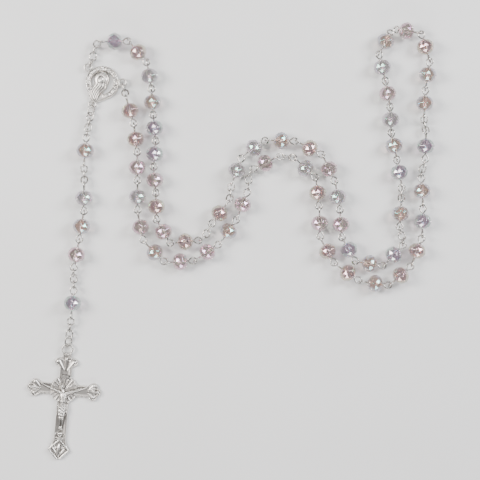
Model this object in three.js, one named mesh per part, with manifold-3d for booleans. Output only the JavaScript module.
// A five-decade crystal rosary laid out on a flat surface, in millimetres, +Z up.
// A cast centrepiece joins the two ends of the bead loop to a short pendant that carries the crucifix.
// Every bead sits on an eye pin: its first loop stands upright and its second loop lies flat, so that
// upright and flat loops alternate along the whole chain and hook into each other.
import * as THREE from 'three';
import { mergeVertices } from 'three/addons/utils/BufferGeometryUtils.js';
import Module from 'manifold-3d';

const wasm = await Module();
wasm.setup();

// ---- driving dimensions ----
const BEAD_RADIUS = 4.18; // over the corners of the facets; across the flats it is 7.7 mm
const BEAD_HALF = 3.3; // half the length along the hole
const BEAD_BELT = 1.15; // half the width of the belt of facets
const BEAD_HOLE_LAND = 1.6; // radius of the flat round the hole
const BORE = 0.62; // hole radius of a bead that turns on its pin
const WIRE = 0.33; // wire radius
const HOOKED = 0.43; // a loop's end wire passes the crossing point by this when the chain is taut
const PIN_REACH = 7.3; // bead centre to the middle of the wire at the loop's end
const PIN_OPEN_REACH = 5.6; // the same on the two loops where the big loop is opened
const LOOP_HALF_WIDTH = 1.48; // to the middle of the wire
const LINK_PITCH = [2.3, 2.9]; // slack and taut distance between crossings along the chain
const LINK_LENGTH = LINK_PITCH[1] + 2 * HOOKED; // between the middles of the end wires
const BEAD_PITCH = [11.6, 13.5]; // slack and taut distance between the centres of hooked beads
const PIN_HALF = PIN_REACH - HOOKED; // bead centre to a taut crossing
const PIN_SLACK = 6.0; // bead centre to a crossing with a link that has slid up the loop
const OPEN_PITCH = 12.0; // least bead spacing across the open crossing
const BEAD_SIDES = 8;
const AXIS_Z = BEAD_RADIUS * Math.cos(Math.PI / BEAD_SIDES); // beads rest on a facet
const RUN_Z = 2.15; // height of a chain run where it sags between two beads
const STRAND_GAP = 9.6; // least distance between bead centres of two strands lying side by side
const RUN_GAP = 6.9; // least distance from a bead centre to another strand's chain run

const EYE_OUTER = 2.0; // cast eyes of the centrepiece
const EYE_INNER = 1.2;
const EYE_THICK = 0.8;
const EYE_Z = 1.9;
const EYE_SEAT = 0.45; // eye centre to the middle of the wire that hangs in it
const MEDAL = { x: -57.5, y: 72, lean: -24, sideEye: 9.1, eyeAngle: 67, bottomEye: 10.9 };
const CROSS = { lean: -5.2, eye: 18.3, eyeOuter: 2.7, eyeInner: 1.95 };
const RING_LENGTH = 4.6; // jump rings, between the middles of the end wires
const RING_PITCH = RING_LENGTH - 1.0;
const RING_HALF_WIDTH = 1.85;
const RING_TILT = 0.7; // jump rings lean over, so that they clear the surface

// ---- how the beads are laid: hand-laid bead centres, in order round the big loop ----
const LAID = {
  decade_1: [[-49.5, 89.5], [-42, 84], [-36.5, 73], [-35.5, 63.5], [-34, 53], [-34, 41], [-34.5, 29],
    [-33, 17], [-31.5, 4.5], [-22.5, -1]],
  father_1: [[-4, 12.5]],
  decade_2: [[3, 32], [10, 42], [22, 45.5], [35, 43], [43, 31.5], [47.5, 19.5], [48, 6], [50.5, -5],
    [61.5, -9.5], [71, -7]],
  father_2: [[75, 12]],
  decade_3: [[75, 32], [72, 44], [71, 55], [70, 67], [67.5, 78.5], [68.5, 90], [77.5, 95], [87, 87.5],
    [87, 75], [86, 63]],
  father_3: [[86.5, 43.5]],
  decade_4: [[84.5, 23.5], [86, 11.5], [83.5, -1.5], [77.5, -12.5], [64.5, -18], [51.5, -13], [42, -1],
    [41, 12], [38.5, 24.5], [34.5, 35.5]],
  father_4: [[15.5, 37.5]],
  decade_5: [[5, 19.5], [0.5, 7], [-9.5, -3], [-22.5, -9.5], [-35.5, -4.5], [-40.5, 9], [-40.5, 22],
    [-41.5, 34], [-42, 46.5], [-45, 59]],
};
const PENDANT_LAID = [[-64.8, 41.5], [-65.5, 20], [-66, 8], [-69, -4.5], [-70.5, -26.3]];
const CROSS_EYE_LAID = [-72.9, -46.8];

const UP = new THREE.Vector3(0, 0, 1);
const flat = ([x, y], z = AXIS_Z) => new THREE.Vector3(x, y, z);
const turned = (degrees) => new THREE.Vector3(Math.cos(THREE.MathUtils.degToRad(degrees)),
  Math.sin(THREE.MathUtils.degToRad(degrees)), 0);

// ---- solids ----
function toSolid(geometry) {
  const bare = new THREE.BufferGeometry();
  bare.setAttribute('position', geometry.getAttribute('position').clone());
  if (geometry.index) bare.setIndex(geometry.index.clone());
  const merged = mergeVertices(bare, 1e-5);
  const mesh = new wasm.Mesh({
    numProp: 3,
    vertProperties: new Float32Array(merged.getAttribute('position').array),
    triVerts: new Uint32Array(merged.index.array),
  });
  return new wasm.Manifold(mesh);
}

function toGeometry(solid) {
  const mesh = solid.getMesh();
  const geometry = new THREE.BufferGeometry();
  geometry.setAttribute('position', new THREE.BufferAttribute(mesh.vertProperties, 3));
  geometry.setIndex(new THREE.BufferAttribute(mesh.triVerts, 1));
  geometry.computeVertexNormals();
  return geometry;
}

const joined = (geometries) => toGeometry(geometries.map(toSolid).reduce((a, b) => a.add(b)));

// Matrix of a local frame: X along the chain, Z as near to up as that allows, rolled about X.
function frameAt(origin, along, roll = 0) {
  const x = along.clone().normalize();
  const y = new THREE.Vector3().crossVectors(UP, x).normalize();
  const z = new THREE.Vector3().crossVectors(x, y);
  const matrix = new THREE.Matrix4().makeBasis(x, y, z).setPosition(origin);
  return matrix.multiply(new THREE.Matrix4().makeRotationX(roll));
}

// A closed wire through the points of an outline in the local XY plane.
function closedWire(outline, radius, sides) {
  const positions = [];
  const index = [];
  const n = outline.length;
  outline.forEach((point, i) => {
    const before = outline[(i + n - 1) % n];
    const after = outline[(i + 1) % n];
    const tangent = new THREE.Vector2().subVectors(after, before).normalize();
    for (let s = 0; s < sides; s += 1) {
      const angle = (2 * Math.PI * (s + 0.5)) / sides;
      const out = radius * Math.cos(angle);
      positions.push(point.x + tangent.y * out, point.y - tangent.x * out, radius * Math.sin(angle));
      const a = i * sides + s;
      const b = i * sides + ((s + 1) % sides);
      const c = ((i + 1) % n) * sides + s;
      const d = ((i + 1) % n) * sides + ((s + 1) % sides);
      index.push(a, c, b, b, c, d);
    }
  });
  const geometry = new THREE.BufferGeometry();
  geometry.setAttribute('position', new THREE.Float32BufferAttribute(positions, 3));
  geometry.setIndex(index);
  return geometry;
}

// Angles round a wire ring. Six steps have a corner at each end, eight have a side there.
const ringAngles = (steps) => Array.from({ length: steps }, (_, i) => (
  (2 * Math.PI * (i + (steps % 4 === 0 ? 0.5 : 0))) / steps));
const endStretch = (steps) => (steps % 4 === 0 ? 1 / Math.cos(Math.PI / steps) : 1);

// Long round-ended ring, from 0 to length along X between the middles of its end wires.
function ringOutline(length, halfWidth, steps) {
  const straight = length / 2 - halfWidth;
  return ringAngles(steps).map((angle) => {
    const shift = Math.sign(Math.cos(angle)) * straight;
    return new THREE.Vector2(length / 2 + shift + halfWidth * Math.cos(angle) * endStretch(steps),
      halfWidth * Math.sin(angle));
  });
}

// Drop-shaped loop of an eye pin, narrow at the bead and round at its end.
function dropOutline(neck, reach, halfWidth, steps) {
  const centre = reach - halfWidth;
  return ringAngles(steps).map((angle) => {
    const towardsBead = Math.cos(angle) < 0;
    const stretch = towardsBead ? (centre - neck) : halfWidth;
    const narrow = towardsBead ? 1 - 0.3 * Math.abs(Math.cos(angle)) : 1;
    return new THREE.Vector2(centre + stretch * Math.cos(angle) * endStretch(steps),
      halfWidth * narrow * Math.sin(angle));
  });
}

function bar(from, to, radius, sides) {
  const along = new THREE.Vector3().subVectors(to, from);
  const geometry = new THREE.CylinderGeometry(radius, radius, along.length(), sides, 1);
  geometry.rotateZ(-Math.PI / 2);
  return geometry.applyMatrix4(frameAt(from.clone().add(to).multiplyScalar(0.5), along));
}

// Faceted rondelle about the local X axis, with a flat facet underneath.
function beadSolid(sides, bore = 0) {
  const profile = [[bore, -BEAD_HALF], [BEAD_HOLE_LAND, -BEAD_HALF], [BEAD_RADIUS, -BEAD_BELT],
    [BEAD_RADIUS, BEAD_BELT], [BEAD_HOLE_LAND, BEAD_HALF], [bore, BEAD_HALF]];
  if (bore > 0) profile.push(profile[0]);
  const points = profile.map(([r, h]) => new THREE.Vector2(r, h));
  const geometry = new THREE.LatheGeometry(points, sides, Math.PI / sides);
  return geometry.rotateZ(-Math.PI / 2);
}

const loopRoll = (upright) => (upright ? Math.PI / 2 : 0);

function loopAt(centre, along, upright, neck, reach, style) {
  const outline = dropOutline(neck, reach, LOOP_HALF_WIDTH, style.steps);
  return closedWire(outline, WIRE, style.sides).applyMatrix4(frameAt(centre, along, loopRoll(upright)));
}

// ---- laying out the chain ----
const stations = [];
const eyeCentre = (angle, distance) => turned(90 + MEDAL.lean + angle).multiplyScalar(distance)
  .add(new THREE.Vector3(MEDAL.x, MEDAL.y, EYE_Z));
const LEFT_EYE = eyeCentre(MEDAL.eyeAngle, MEDAL.sideEye);
const RIGHT_EYE = eyeCentre(-MEDAL.eyeAngle, MEDAL.sideEye);
const BOTTOM_EYE = eyeCentre(180, MEDAL.bottomEye);
const CROSS_EYE = flat(CROSS_EYE_LAID, 1.6);

// Distances that a stretch of n links allows between two stations.
const EYE_OFFSET = EYE_SEAT + HOOKED;
const reachOf = (station, pinReach) => (station.eye ? EYE_OFFSET : pinReach);
function span(a, b) {
  if (b.linksBefore === 0) {
    const most = BEAD_PITCH[1] * Math.cos(b.bend / 2);
    const least = b.opened ? OPEN_PITCH : BEAD_PITCH[0];
    return [least, Math.max(least, most)];
  }
  return [PIN_SLACK, PIN_HALF].map((pinReach, i) => (
    reachOf(a, pinReach) + reachOf(b, pinReach) + b.linksBefore * LINK_PITCH[i]));
}

stations.push({ eye: true, at: LEFT_EYE.clone().setZ(AXIS_Z), linksBefore: 0 });
for (const [part, points] of Object.entries(LAID)) {
  points.forEach((point, i) => {
    const links = part === 'decade_1' ? 4 : 3;
    const linksBefore = i === 0 ? links : 0;
    const opened = part === 'decade_3' && i === 6;
    stations.push({ part, i, at: flat(point), linksBefore, opened });
  });
}
stations.push({ eye: true, at: RIGHT_EYE.clone().setZ(AXIS_Z), linksBefore: 2 });

const pendant = PENDANT_LAID.map((point, i) => ({ part: 'pendant', i, at: flat(point), linksBefore: 0 }));
pendant[1].linksBefore = 3;
pendant[4].linksBefore = 3;

// The beads settle: neighbours end up as far apart as their loops allow, and strands side by side clear.
function pushApart(a, b, least, most) {
  const gap = new THREE.Vector3().subVectors(b.at, a.at);
  const length = gap.length();
  const wanted = THREE.MathUtils.clamp(length, least, most);
  if (wanted === length) return;
  gap.multiplyScalar((wanted - length) / length / 2);
  if (!a.eye) a.at.sub(gap);
  if (!b.eye) b.at.add(gap);
}

function clearRun(a, b, bead) {
  for (const t of [0.3, 0.5, 0.7]) {
    const away = new THREE.Vector3().subVectors(bead.at, a.at.clone().lerp(b.at, t));
    const short = RUN_GAP - away.length();
    if (short > 0) bead.at.addScaledVector(away.normalize(), short);
  }
}

// How much the chain turns between each bead and the one before it.
function measureBends(list) {
  const last = list.length - 1;
  list.forEach((b, k) => {
    const before = list[Math.max(k - 2, 0)];
    const a = list[Math.max(k - 1, 0)];
    const after = list[Math.min(k + 1, last)];
    const arriving = new THREE.Vector3().subVectors(b.at, before.at);
    b.bend = arriving.angleTo(new THREE.Vector3().subVectors(after.at, a.at));
  });
}

function spaceOut(list) {
  measureBends(list);
  list.slice(1).forEach((b, k) => pushApart(list[k], b, ...span(list[k], b)));
}

const SETTLING_ROUNDS = 400;
for (let round = 0; round < SETTLING_ROUNDS; round += 1) {
  spaceOut(stations);
  spaceOut(pendant);
  stations.forEach((a, k) => {
    for (let m = k + 2; m < stations.length; m += 1) pushApart(a, stations[m], STRAND_GAP, Infinity);
    if (k === 0 || a.linksBefore === 0) return;
    stations.forEach((bead, m) => {
      if (m < k - 2 || m > k + 1) clearRun(stations[k - 1], a, bead);
    });
  });
}

// Direction of each pin, then the crossing points between neighbours.
function aim(list) {
  list.forEach((station, k) => {
    const before = list[Math.max(k - 1, 0)];
    const after = list[Math.min(k + 1, list.length - 1)];
    const arriving = new THREE.Vector3().subVectors(station.at, before.at).normalize();
    const leaving = new THREE.Vector3().subVectors(after.at, station.at).normalize();
    station.along = arriving.add(leaving).normalize();
  });
}

function cross(list) {
  list.forEach((station) => {
    station.start = station.at.clone().addScaledVector(station.along, -PIN_HALF);
    station.end = station.at.clone().addScaledVector(station.along, PIN_HALF);
  });
  for (let k = 1; k < list.length; k += 1) {
    const [a, b] = [list[k - 1], list[k]];
    if (b.linksBefore > 0 || a.eye || b.eye) continue;
    const bulge = new THREE.Vector3().subVectors(a.along, b.along);
    const crossing = a.at.clone().add(b.at).multiplyScalar(0.5)
      .addScaledVector(bulge, a.at.distanceTo(b.at) / 4);
    a.end = crossing;
    b.start = crossing.clone();
  }
  list.filter((station) => !station.eye).forEach((station) => {
    station.centre = station.start.clone().add(station.end).multiplyScalar(0.5);
    station.along = new THREE.Vector3().subVectors(station.end, station.start).normalize();
  });
  list.filter((b) => b.linksBefore === 3).forEach((b) => {
    const a = list[list.indexOf(b) - 1];
    const slack = (a.centre.distanceTo(b.centre) - b.linksBefore * LINK_PITCH[0]) / 2;
    const reach = THREE.MathUtils.clamp(slack, PIN_SLACK, PIN_HALF);
    a.end = a.centre.clone().addScaledVector(a.along, reach);
    b.start = b.centre.clone().addScaledVector(b.along, -reach);
  });
}

// Crossing points of a run of links: a bend from one pin to the next that sags between them.
function runPoints(from, fromAlong, to, toAlong, count, lowest = RUN_Z) {
  const third = from.distanceTo(to) / 3;
  const curve = new THREE.CubicBezierCurve3(from, from.clone().addScaledVector(fromAlong, third),
    to.clone().addScaledVector(toAlong, -third), to);
  return Array.from({ length: count + 1 }, (_, i) => {
    const point = curve.getPointAt(i / count);
    const sag = Math.sin((Math.PI * i) / count);
    point.z = THREE.MathUtils.lerp(point.z, Math.min(point.z, lowest), sag);
    return point;
  });
}

aim(stations);
cross(stations);
aim(pendant);
pendant[0].along = new THREE.Vector3().subVectors(pendant[1].at, BOTTOM_EYE).setZ(0).normalize();
pendant[4].along = new THREE.Vector3().subVectors(CROSS_EYE, pendant[3].at).setZ(0).normalize();
cross(pendant);

// ---- materials ----
const silver = (name) => new THREE.MeshStandardMaterial({
  name, color: 0xc4beb6, metalness: 1, roughness: 0.28,
});
const BEAD_TINTS = [0xd9b3ae, 0xc9c4cc, 0xd8c2ae, 0xbfb2c2];
const crystal = (i) => new THREE.MeshStandardMaterial({
  color: BEAD_TINTS[i % BEAD_TINTS.length], metalness: 0.1, roughness: 0.08,
});

// ---- nodes ----
const rosary = new THREE.Group();
const LOOP_STYLE = { sides: 3, steps: 8 };
const PENDANT_STYLE = { sides: 4, steps: 8 };

function addNode(name, geometry, material, joint = null) {
  const mesh = new THREE.Mesh(geometry, material);
  mesh.name = name;
  if (joint) mesh.userData.joint = joint;
  rosary.add(mesh);
  return mesh;
}

const acrossUp = (along) => new THREE.Vector3().crossVectors(along, UP).normalize();
const lift = (parent, pivot, along, sign, range) => ({
  parent, pivot, axis: acrossUp(along).multiplyScalar(sign), range,
});

// A link between two crossing points.
const CABLE_LINK = { length: LINK_LENGTH, halfWidth: LOOP_HALF_WIDTH, tilt: 0 };
const JUMP_RING = { length: RING_LENGTH, halfWidth: RING_HALF_WIDTH, tilt: RING_TILT };
const directionOf = (from, to) => new THREE.Vector3().subVectors(to, from).normalize();
const linkEnd = (from, to, size = CABLE_LINK) => from.clone().add(to).multiplyScalar(0.5)
  .addScaledVector(directionOf(from, to), size.length / 2);

function linkAt(from, to, upright, style, size = CABLE_LINK) {
  const place = frameAt(linkEnd(to, from, size), directionOf(from, to), loopRoll(upright) + size.tilt);
  return closedWire(ringOutline(size.length, size.halfWidth, style.steps), WIRE, style.sides)
    .applyMatrix4(place);
}

// Pieces of one stretch of chain that moves as one: beads on their pins, and links.
// Each item is { kind, from, to } and the items are tied by short bars where they cross.
function stretchGeometry(items, style) {
  const solids = [];
  let lastEnd = null;
  items.forEach((item) => {
    const along = directionOf(item.from, item.to);
    let start;
    let end;
    if (item.kind === 'bead') {
      const centre = item.from.clone().add(item.to).multiplyScalar(0.5);
      const startReach = item.shortStart ? PIN_OPEN_REACH : PIN_REACH;
      const endReach = item.shortEnd ? PIN_OPEN_REACH : PIN_REACH;
      const neck = BEAD_HALF + 0.1;
      solids.push(beadSolid(BEAD_SIDES).applyMatrix4(frameAt(centre, along)));
      solids.push(loopAt(centre, along.clone().negate(), item.startUpright, neck, startReach, style));
      solids.push(loopAt(centre, along, !item.startUpright, neck, endReach, style));
      start = centre.clone().addScaledVector(along, -startReach);
      end = centre.clone().addScaledVector(along, endReach);
    } else {
      solids.push(linkAt(item.from, item.to, item.startUpright, style));
      start = linkEnd(item.to, item.from);
      end = linkEnd(item.from, item.to);
    }
    if (lastEnd) solids.push(bar(start, lastEnd, WIRE * 0.9, 3));
    lastEnd = end;
    item.endPoint = end;
    item.along = along;
  });
  return joined(solids);
}

const beadItem = ({ centre, along }, reversed, startUpright) => ({
  kind: 'bead',
  from: centre.clone().addScaledVector(along, reversed ? PIN_HALF : -PIN_HALF),
  to: centre.clone().addScaledVector(along, reversed ? -PIN_HALF : PIN_HALF),
  startUpright,
});
const linkItems = (points, firstUpright) => points.slice(1).map((point, i) => ({
  kind: 'link', from: points[i], to: point, startUpright: (i % 2 === 0) === firstUpright,
}));

const LIFT_RANGE = [-30, 30];
// Lifting this pair further the first way would press the chain behind it into the other strand.
const CROWDED_LIFTS = { decade_5_beads_3_4: [-10, 30] };

// One branch of the big loop, from an eye of the centrepiece to the open crossing.
function addBranch(list, reversed, eye, side) {
  const ahead = (station) => station.along.clone().multiplyScalar(reversed ? -1 : 1);
  const first = list[0];
  const entry = reversed ? first.end : first.start;
  const exit = reversed ? 'start' : 'end';
  const enter = reversed ? 'end' : 'start';
  const eyeLinks = reversed ? 2 : 4;
  const out = new THREE.Vector3().subVectors(first.centre, eye).setZ(0).normalize();
  const leave = eye.clone().addScaledVector(out, EYE_OFFSET);
  let parent = 'centrepiece';
  let pivot = eye.clone().addScaledVector(out, (EYE_INNER + EYE_OUTER) / 2);
  let pivotAlong = out;
  let sign = reversed ? -1 : 1;

  const addStretch = (name, items, tint) => {
    const geometry = stretchGeometry(items, LOOP_STYLE);
    const material = tint === null ? silver(`${name}_wire`) : crystal(tint);
    const range = CROWDED_LIFTS[name] ?? LIFT_RANGE;
    addNode(name, geometry, material, lift(parent, pivot.clone(), pivotAlong, sign, range));
    const last = items[items.length - 1];
    parent = name;
    pivot = last.endPoint;
    pivotAlong = last.along;
    sign = -sign;
  };

  const run = runPoints(leave, out, entry, ahead(first), eyeLinks);
  addStretch(`chain_run_${side}`, linkItems(run, true), null);
  let pair = [];
  let tint = 0;
  list.forEach((station, k) => {
    if (station.part.startsWith('father')) {
      const before = list[k - 1];
      const after = list[k + 1];
      const arriving = runPoints(before[exit], ahead(before), station[enter], ahead(station), 3);
      const leaving = runPoints(station[exit], ahead(station), after[enter], ahead(after), 3);
      const items = [...linkItems(arriving, true), beadItem(station, reversed, false),
        ...linkItems(leaving, false)];
      addStretch(`our_father_${station.part.slice(-1)}_with_chain`, items, tint);
      tint += 1;
      return;
    }
    pair.push(station);
    if (pair.length < 2) return;
    const items = pair.map((bead) => beadItem(bead, reversed, true));
    if (k === list.length - 1) items[1].shortEnd = true;
    const numbers = pair.map((bead) => bead.i + 1).sort((a, b) => a - b);
    addStretch(`${station.part}_beads_${numbers.join('_')}`, items, tint);
    pair = [];
    tint += 1;
  });
}

// ---- the pendant, piece by piece ----
const SWAY = { left: 25, right: 5 };
const RING_SHARE = 0.257; // of the way from the bottom eye to the first bead
const RING_END_Z = 2.15;
const CROSS_SEAT = 0.56; // from the middle of the crucifix's eye wall to the middle of the ring's wire
const PENDANT_LIFT = [-40, 40];

function addPendant() {
  const state = { parent: 'centrepiece', pivot: null, along: null, upright: false, lifts: 0, sways: 0 };
  const hinge = () => {
    if (state.upright) {
      state.sways += 1;
      const odd = state.sways % 2 === 1;
      const range = odd ? [-SWAY.right, SWAY.left] : [-SWAY.left, SWAY.right];
      const axis = new THREE.Vector3().crossVectors(state.along, acrossUp(state.along));
      return { parent: state.parent, pivot: state.pivot, axis: axis.multiplyScalar(odd ? 1 : -1), range };
    }
    state.lifts += 1;
    return lift(state.parent, state.pivot, state.along, state.lifts % 2 === 1 ? 1 : -1, PENDANT_LIFT);
  };
  const advance = (parent, pivot, along, upright) => {
    Object.assign(state, { parent, pivot, along, upright });
  };

  const addRing = (name, from, to, upright, size) => {
    const ring = linkAt(from, to, upright, PENDANT_STYLE, size);
    addNode(name, joined([ring]), silver(name), hinge());
    advance(name, linkEnd(from, to, size), directionOf(from, to), upright);
  };

  const addLinks = (label, points, firstUpright) => linkItems(points, firstUpright)
    .forEach((item, i) => {
      addRing(`${label}_link_${i + 1}`, item.from, item.to, item.startUpright, CABLE_LINK);
    });

  const addBead = (label, station, startUpright, tint) => {
    const { centre, along } = station;
    const neck = BEAD_HALF + 0.35 + WIRE;
    const shank = neck + WIRE / 2;
    const back = along.clone().negate();
    const pin = joined([
      loopAt(centre, back, startUpright, neck, PIN_REACH, PENDANT_STYLE),
      loopAt(centre, along, !startUpright, neck, PIN_REACH, PENDANT_STYLE),
      bar(centre.clone().addScaledVector(back, shank), centre.clone().addScaledVector(along, shank),
        WIRE, PENDANT_STYLE.sides),
    ]);
    addNode(`${label}_pin`, pin, silver(`${label}_pin`), hinge());
    const bead = joined([beadSolid(BEAD_SIDES, BORE).applyMatrix4(frameAt(centre, along))]);
    addNode(`${label}_bead`, bead, crystal(tint), { parent: `${label}_pin`, pivot: centre, axis: along });
    advance(`${label}_pin`, centre.clone().addScaledVector(along, PIN_REACH), along, !startUpright);
  };

  const [father, mary1, mary2, mary3, lastFather] = pendant;
  const down = new THREE.Vector3().subVectors(father.centre, BOTTOM_EYE).setZ(0).normalize();
  const leave = BOTTOM_EYE.clone().addScaledVector(down, EYE_OFFSET);
  state.pivot = BOTTOM_EYE.clone().addScaledVector(down, (EYE_INNER + EYE_OUTER) / 2);
  state.along = down;
  const ringEnd = leave.clone().lerp(father.start, RING_SHARE).setZ(RING_END_Z);
  addRing('medal_jump_ring', leave, ringEnd, true, JUMP_RING);
  const upper = runPoints(ringEnd, father.along, father.start, father.along, 4);
  addLinks('upper_chain', upper, false);
  addBead('pendant_father_1', father, false, 1);
  const middleRun = runPoints(father.end, father.along, mary1.start, mary1.along, 3);
  addLinks('middle_chain', middleRun, false);
  addBead('hail_mary_1', mary1, true, 0);
  addBead('hail_mary_2', mary2, true, 2);
  addBead('hail_mary_3', mary3, true, 3);
  const lower = runPoints(mary3.end, mary3.along, lastFather.start, lastFather.along, 3);
  addLinks('lower_chain', lower, true);
  addBead('pendant_father_2', lastFather, false, 1);
  const wallMiddle = (CROSS.eyeInner + CROSS.eyeOuter) / 2;
  const upShaft = turned(90 + CROSS.lean);
  const seat = CROSS_EYE.clone().addScaledVector(upShaft, wallMiddle - CROSS_SEAT);
  const toCross = directionOf(lastFather.end, seat);
  const ringStart = seat.clone().addScaledVector(toCross, -RING_PITCH);
  const last = runPoints(lastFather.end, lastFather.along, ringStart, toCross, 3);
  addLinks('cross_chain', last, false);
  addRing('crucifix_jump_ring', ringStart, seat, true, JUMP_RING);
  return hinge();
}

// ---- cast centrepiece ----
const extruded = (shape, low, high, curveSegments = 6) => new THREE.ExtrudeGeometry(shape, {
  depth: high - low, bevelEnabled: false, curveSegments,
}).translate(0, 0, low);

function eyeRing(x, y, outer, inner, thickness, z) {
  const shape = new THREE.Shape().absarc(x, y, outer, 0, 2 * Math.PI);
  shape.holes.push(new THREE.Path().absarc(x, y, inner, 0, 2 * Math.PI));
  return extruded(shape, z - thickness / 2, z + thickness / 2, 7);
}

function blob(x, y, z, rx, ry, rz, turn = 0, width = 8, height = 6) {
  return new THREE.SphereGeometry(1, width, height).rotateX(Math.PI / 2).scale(rx, ry, rz)
    .rotateZ(turn).translate(x, y, z);
}

const MEDAL_OUTER = 7.5;
const MEDAL_OPENING = 5.1;
const MEDAL_THICK = 2.0;

function centrepieceGeometry() {
  const from = THREE.MathUtils.degToRad(-32);
  const to = THREE.MathUtils.degToRad(212);
  const frame = new THREE.Shape();
  frame.absarc(0, 0, MEDAL_OUTER, from, to);
  frame.lineTo(-1.3, -9.4);
  frame.lineTo(1.3, -9.4);
  frame.closePath();
  frame.holes.push(new THREE.Path().absarc(0, 0, MEDAL_OPENING, 0, 2 * Math.PI));
  const rim = extruded(frame, 0, MEDAL_THICK, 10);
  const bust = new THREE.Shape();
  bust.absellipse(0, 0.9, 3.1, 3.1, 0, Math.PI);
  bust.lineTo(-3.6, -4.2);
  bust.lineTo(3.6, -4.2);
  bust.closePath();
  const eyes = [MEDAL.eyeAngle, -MEDAL.eyeAngle].map((angle) => {
    const spot = turned(90 + angle).multiplyScalar(MEDAL.sideEye);
    return eyeRing(spot.x, spot.y, EYE_OUTER, EYE_INNER, EYE_THICK, EYE_Z);
  });
  return joined([
    rim,
    extruded(bust, 0, 1.7, 6),
    blob(0, 0.6, 1.6, 2.6, 3.0, 1.5),
    blob(0, -3.4, 1.5, 3.0, 2.6, 1.1),
    ...eyes,
    eyeRing(0, -MEDAL.bottomEye, EYE_OUTER, EYE_INNER, EYE_THICK, EYE_Z),
  ]);
}

// ---- cast crucifix, local origin at the crossing of its arms ----
const ARM_HALF = 2.8;
const ARM_LENGTH = 16.1;
const FOOT = 31.2;
const HEAD = 16.2;
const CROSS_THICK = 1.5;

// Three-lobed end of an arm, pointing along +X before it is turned.
function trefoil(reach, turn, width) {
  const shape = new THREE.Shape();
  shape.moveTo(reach - 5.4, -ARM_HALF + 0.2);
  shape.quadraticCurveTo(reach - 4.6, -width, reach - 2.6, -width);
  shape.quadraticCurveTo(reach - 1.2, -width + 0.3, reach - 1.1, -width * 0.55);
  shape.quadraticCurveTo(reach, -width * 0.4, reach, 0);
  shape.quadraticCurveTo(reach, width * 0.4, reach - 1.1, width * 0.55);
  shape.quadraticCurveTo(reach - 1.2, width - 0.3, reach - 2.6, width);
  shape.quadraticCurveTo(reach - 4.6, width, reach - 5.4, ARM_HALF - 0.2);
  shape.closePath();
  return extruded(shape, 0, CROSS_THICK + 0.25, 3).rotateZ(turn);
}

function shieldEnd() {
  const shape = new THREE.Shape();
  shape.moveTo(-ARM_HALF + 0.2, -FOOT + 10.5);
  shape.quadraticCurveTo(-4.9, -FOOT + 8.6, -4.9, -FOOT + 6.4);
  shape.quadraticCurveTo(-4.7, -FOOT + 3.2, 0, -FOOT);
  shape.quadraticCurveTo(4.7, -FOOT + 3.2, 4.9, -FOOT + 6.4);
  shape.quadraticCurveTo(4.9, -FOOT + 8.6, ARM_HALF - 0.2, -FOOT + 10.5);
  shape.closePath();
  return extruded(shape, 0, CROSS_THICK + 0.25, 4);
}

function limb(from, to, r0, r1) {
  const along = new THREE.Vector3().subVectors(to, from);
  const geometry = new THREE.CylinderGeometry(r1, r0, along.length(), 6, 1);
  geometry.rotateZ(-Math.PI / 2);
  return geometry.applyMatrix4(frameAt(from.clone().add(to).multiplyScalar(0.5), along));
}

const point = (x, y, z) => new THREE.Vector3(x, y, z);

function corpusSolids() {
  return [
    blob(-0.6, 2.8, 2.4, 1.15, 1.4, 1.15),
    blob(0, -1.2, 2.2, 1.9, 3.2, 1.15),
    blob(0, -5.6, 2.2, 1.9, 1.7, 1.2),
    limb(point(-1.2, 1.0, 1.9), point(-9.6, 3.6, 1.6), 0.8, 0.5),
    limb(point(1.2, 1.0, 1.9), point(9.6, 3.6, 1.6), 0.8, 0.5),
    limb(point(-0.6, -6.0, 1.8), point(-0.5, -15.6, 1.7), 1.1, 0.7),
    limb(point(0.6, -6.0, 1.9), point(0.4, -15.6, 1.7), 1.1, 0.7),
    blob(0, -16.2, 1.9, 0.9, 1.0, 0.7),
  ];
}

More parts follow.
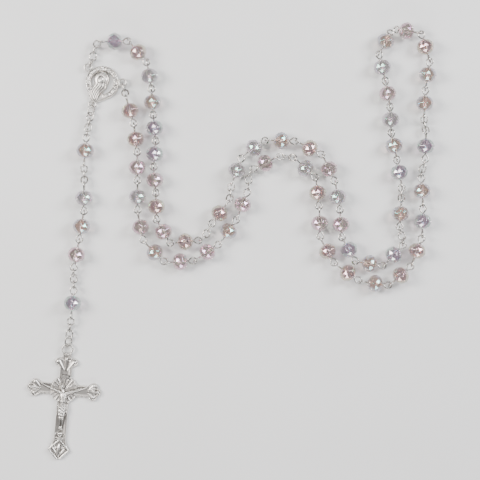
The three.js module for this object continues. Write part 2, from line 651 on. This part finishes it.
function crucifixGeometry() {
  const arms = new THREE.BoxGeometry(2 * (ARM_LENGTH - 3), 2 * ARM_HALF, CROSS_THICK)
    .translate(0, 0, CROSS_THICK / 2);
  const shaft = new THREE.BoxGeometry(2 * ARM_HALF, HEAD - 3 + FOOT - 6, CROSS_THICK)
    .translate(0, (HEAD - 3 - FOOT + 6) / 2, CROSS_THICK / 2);
  const burst = new THREE.CylinderGeometry(6.1, 6.3, CROSS_THICK - 0.2, 16, 1).rotateX(Math.PI / 2)
    .translate(0, 0, (CROSS_THICK - 0.2) / 2);
  return joined([
    arms,
    shaft,
    burst,
    trefoil(ARM_LENGTH, 0, 4.7),
    trefoil(ARM_LENGTH, Math.PI, 4.7),
    trefoil(HEAD, Math.PI / 2, 5.1),
    shieldEnd(),
    eyeRing(0, CROSS.eye, CROSS.eyeOuter, CROSS.eyeInner, EYE_THICK, CROSS_EYE.z),
    new THREE.BoxGeometry(3.6, 1.5, 0.7).translate(0, 6.6, CROSS_THICK + 0.2),
    blob(0, -19.6, 1.5, 1.5, 1.4, 1.1),
    ...corpusSolids(),
  ]);
}

// ---- assembly ----
const medal = addNode('centrepiece', centrepieceGeometry(), silver('centrepiece'));
medal.position.set(MEDAL.x, MEDAL.y, 0);
medal.rotation.z = THREE.MathUtils.degToRad(MEDAL.lean);

const crossHinge = addPendant();
const crucifix = addNode('crucifix', crucifixGeometry(), silver('crucifix'), crossHinge);
const crossTurn = THREE.MathUtils.degToRad(CROSS.lean);
crucifix.rotation.z = crossTurn;
crucifix.position.copy(CROSS_EYE).setZ(0)
  .sub(new THREE.Vector3(0, CROSS.eye, 0).applyAxisAngle(UP, crossTurn));

const loop = stations.filter((station) => !station.eye);
const openAt = loop.findIndex((station) => station.opened);
addBranch(loop.slice(0, openAt), false, LEFT_EYE, 'left');
addBranch(loop.slice(openAt).reverse(), true, RIGHT_EYE, 'right');

// The origin is the middle of the footprint, on the surface that the rosary lies on.
rosary.updateMatrixWorld(true);
const bounds = new THREE.Box3().setFromObject(rosary, true);
const middle = bounds.getCenter(new THREE.Vector3());
rosary.position.set(-middle.x, -middle.y, -bounds.min.z);
rosary.updateMatrixWorld(true);

export default rosary;
